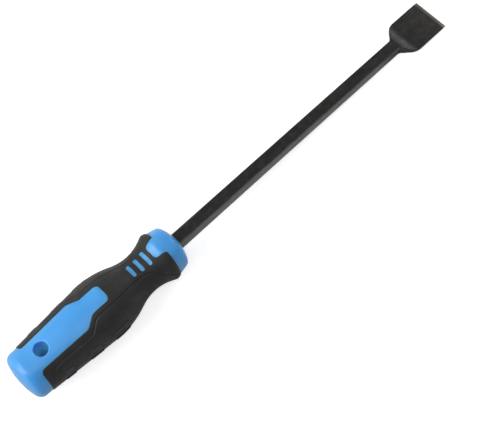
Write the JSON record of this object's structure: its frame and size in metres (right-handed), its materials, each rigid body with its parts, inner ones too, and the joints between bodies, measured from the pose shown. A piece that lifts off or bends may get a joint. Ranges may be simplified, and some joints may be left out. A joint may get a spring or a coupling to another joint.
{
  "type": "sealant scraper",
  "caption": "Long square steel bar forged into a wide thin scraper blade, moulded into a waisted two-colour handle with a soft grip and a hang hole through the butt.",
  "frame": {"origin": "centre of the hang hole, on the tool's long axis", "axes": "+X along the tool from the butt to the cutting edge, +Z along the hang hole out of the upper panel, +Y across the blade"},
  "size_m": [0.2987, 0.0348, 0.0334],
  "materials": {
    "blackened_steel": "black oxide over forged and ground steel, satin, with rubbed arrises",
    "blue_plastic": "injection moulded, satin gloss",
    "black_grip": "soft-touch thermoplastic elastomer, matte with a fine grain"
  },
  "bodies": {
    "root": {"blade_shank": "blackened_steel", "handle_core": "blue_plastic", "soft_grip": "black_grip"}
  },
  "joints": []
}
